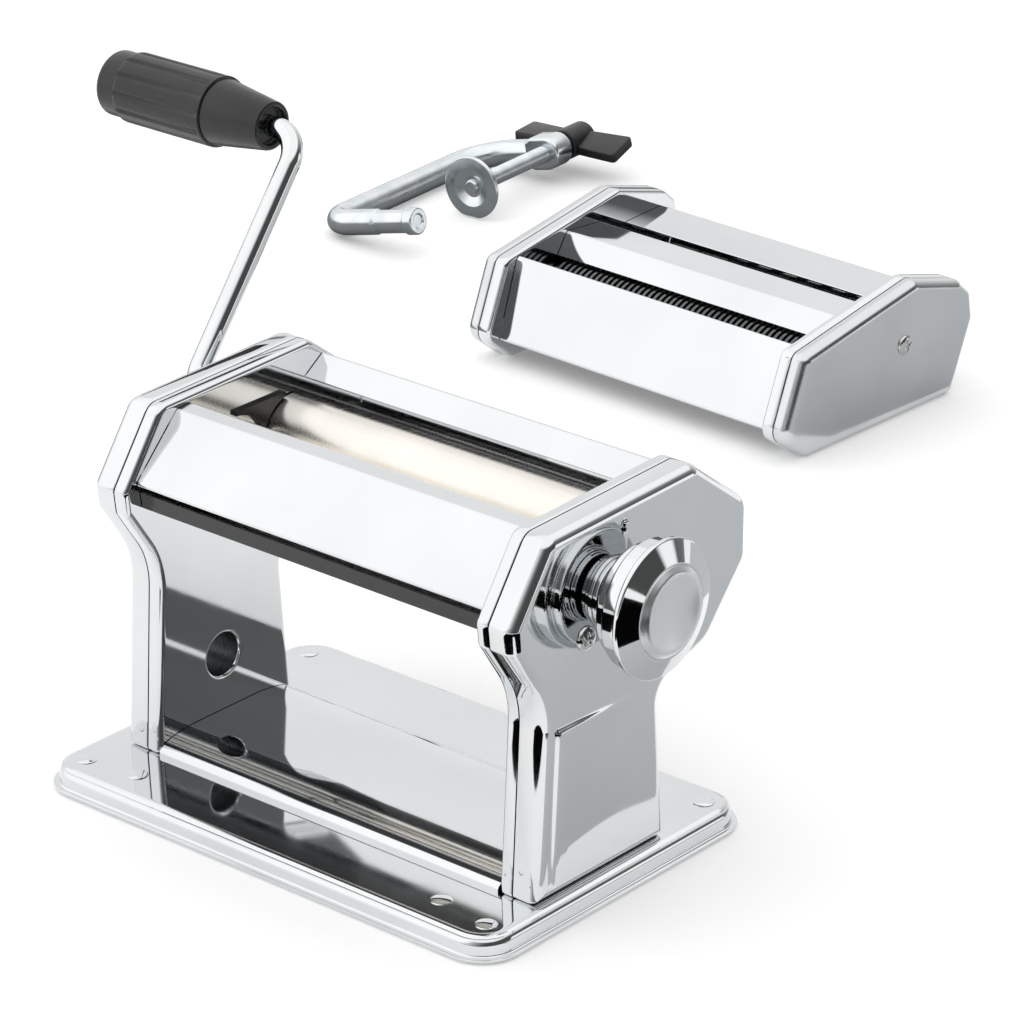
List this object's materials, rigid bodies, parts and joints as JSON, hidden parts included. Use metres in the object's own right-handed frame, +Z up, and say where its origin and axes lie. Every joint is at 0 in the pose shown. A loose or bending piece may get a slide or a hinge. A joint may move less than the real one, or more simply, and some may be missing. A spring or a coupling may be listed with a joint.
{
  "type": "pasta machine",
  "caption": "Hand-cranked chrome pasta machine with adjustable dough rollers, crank, table clamp and a separate noodle cutter.",
  "frame": {"origin": "on the ground, under the middle of the rollers, at the middle foot", "axes": "X along the rollers towards the adjusting knob, Y from the front to the back, Z up"},
  "size_m": [0.538, 0.6288, 0.2054],
  "materials": {
    "chrome": "polished",
    "satin_chrome": "satin",
    "roller_steel": "ground",
    "cutter_steel": "ground",
    "plain_steel": "satin",
    "gear_steel": "machined",
    "bush_brass": "machined",
    "nickel_fasteners": "polished",
    "zinc_plate": "zinc plated",
    "grip_plastic": "moulded satin",
    "wing_plastic": "moulded satin",
    "guard_plastic": "moulded",
    "foot_rubber": "matte"
  },
  "bodies": {
    "frame": {"base_plate": "chrome", "rubber_feet": "foot_rubber", "foot_rivets": "nickel_fasteners", "front_rivets": "nickel_fasteners", "base_screws": "nickel_fasteners", "floor_pan": "chrome", "left_side_plate": "chrome", "right_side_plate": "chrome", "left_cover": "chrome", "right_cover": "chrome", "front_hood": "chrome", "hopper_panel": "chrome", "front_guard": "guard_plastic", "rear_guard": "guard_plastic", "front_scraper": "plain_steel", "rear_scraper": "plain_steel", "dough_guards": "satin_chrome", "tie_rods": "plain_steel", "tie_nuts": "plain_steel", "drive_bushes": "bush_brass", "adjuster_bush": "bush_brass", "gear_bridge": "plain_steel", "clamp_socket": "plain_steel", "cover_posts": "plain_steel", "cover_screws": "nickel_fasteners", "index_collar": "chrome"},
    "drive_roller": {"drive_roller": "roller_steel", "drive_gear": "gear_steel"},
    "crank": {"crank_rod": "chrome"},
    "crank_grip": {"crank_grip": "grip_plastic"},
    "eccentric_shaft": {"eccentric_shaft": "plain_steel", "knob_retainer": "plain_steel"},
    "knob": {"adjuster_knob": "chrome", "knob_disc": "satin_chrome", "knob_spring": "plain_steel"},
    "roller_bushes": {"roller_bushes": "bush_brass"},
    "adjustable_roller": {"adjustable_roller": "roller_steel", "adjuster_gear": "gear_steel"},
    "cutter_body": {"cutter_left_plate": "satin_chrome", "cutter_right_plate": "satin_chrome", "cutter_left_cap": "satin_chrome", "cutter_right_cap": "satin_chrome", "cutter_front_panel": "chrome", "cutter_middle_panel": "chrome", "cutter_rear_panel": "chrome", "cutter_tie_rods": "plain_steel", "cutter_cap_screws": "nickel_fasteners", "cutter_combs": "guard_plastic"},
    "fine_front": {"fine_front_roller": "cutter_steel", "cutter_gears_fine_front": "gear_steel"},
    "fine_rear": {"fine_rear_roller": "cutter_steel", "cutter_gears_fine_rear": "gear_steel"},
    "wide_front": {"wide_front_roller": "cutter_steel", "cutter_gears_wide_front": "gear_steel"},
    "wide_rear": {"wide_rear_roller": "cutter_steel", "cutter_gears_wide_rear": "gear_steel"},
    "clamp_rod": {"clamp_rod": "zinc_plate"},
    "clamp_pad": {"clamp_pad": "zinc_plate"},
    "clamp_screw": {"clamp_screw": "zinc_plate", "clamp_wing": "wing_plastic"}
  },
  "joints": [
    {"name": "drive_turn", "type": "hinge", "parent": "frame", "child": "drive_roller", "pos_m": [0, 0.031, 0.11], "axis": [1, 0, 0], "continuous": true},
    {"name": "crank_pull", "type": "slide", "parent": "drive_roller", "child": "crank", "axis": [-1, 0, 0], "range_m": [0, 0.03]},
    {"name": "grip_turn", "type": "hinge", "parent": "crank", "child": "crank_grip", "pos_m": [-0.173, 0.09327, 0.19204], "axis": [1, 0, 0], "continuous": true},
    {"name": "adjuster_turn", "type": "hinge", "parent": "frame", "child": "eccentric_shaft", "pos_m": [0, 0.00146, 0.10873], "axis": [-1, 0, 0], "range_deg": [0, 108]},
    {"name": "knob_pull", "type": "slide", "parent": "eccentric_shaft", "child": "knob", "axis": [1, 0, 0], "range_m": [0, 0.004], "stiffness_N_per_m": 800, "springref_m": -0.005, "deforming": ["knob_spring"]},
    {"name": "bush_turn", "type": "hinge", "parent": "eccentric_shaft", "child": "roller_bushes", "pos_m": [0, 0.00016, 0.10967], "axis": [-1, 0, 0], "range_deg": [-108, 0]},
    {"name": "adjustable_roller_turn", "type": "hinge", "parent": "roller_bushes", "child": "adjustable_roller", "pos_m": [0, 0.00016, 0.10967], "axis": [1, 0, 0], "continuous": true},
    {"name": "cutter_lift", "type": "slide", "parent": "frame", "child": "cutter_body", "axis": [0, 0, 1], "range_m": [0, 0.15]},
    {"name": "fine_front_turn", "type": "hinge", "parent": "cutter_body", "child": "fine_front", "pos_m": [-0.16653, 0.35198, 0.027], "axis": [0.9991, -0.0419, 0], "continuous": true},
    {"name": "fine_rear_turn", "type": "hinge", "parent": "cutter_body", "child": "fine_rear", "pos_m": [-0.16573, 0.37097, 0.027], "axis": [0.9991, -0.0419, 0], "continuous": true},
    {"name": "wide_front_turn", "type": "hinge", "parent": "cutter_body", "child": "wide_front", "pos_m": [-0.1646, 0.39794, 0.024], "axis": [0.9991, -0.0419, 0], "continuous": true},
    {"name": "wide_rear_turn", "type": "hinge", "parent": "cutter_body", "child": "wide_rear", "pos_m": [-0.1638, 0.41693, 0.024], "axis": [0.9991, -0.0419, 0], "continuous": true},
    {"name": "clamp_lift", "type": "slide", "parent": "frame", "child": "clamp_rod", "axis": [0, 0, 1], "range_m": [0, 0.1]},
    {"name": "clamp_pad_travel", "type": "slide", "parent": "clamp_rod", "child": "clamp_pad", "axis": [-0.0785, 0.9969, 0], "range_m": [0, 0.02]},
    {"name": "clamp_screw_turn", "type": "hinge", "parent": "clamp_pad", "child": "clamp_screw", "pos_m": [-0.3725, 0.49882, 0.015], "axis": [-0.0785, 0.9969, 0], "range_deg": [0, 5760]}
  ],
  "couplings": [
    {"joint": "bush_turn", "follows": "adjuster_turn", "ratio": -1},
    {"joint": "adjustable_roller_turn", "follows": "drive_turn", "ratio": -1},
    {"joint": "fine_rear_turn", "follows": "fine_front_turn", "ratio": -1},
    {"joint": "wide_rear_turn", "follows": "wide_front_turn", "ratio": -1},
    {"joint": "clamp_screw_turn", "follows": "clamp_pad_travel", "rad_per_m": 5026.5}
  ]
}
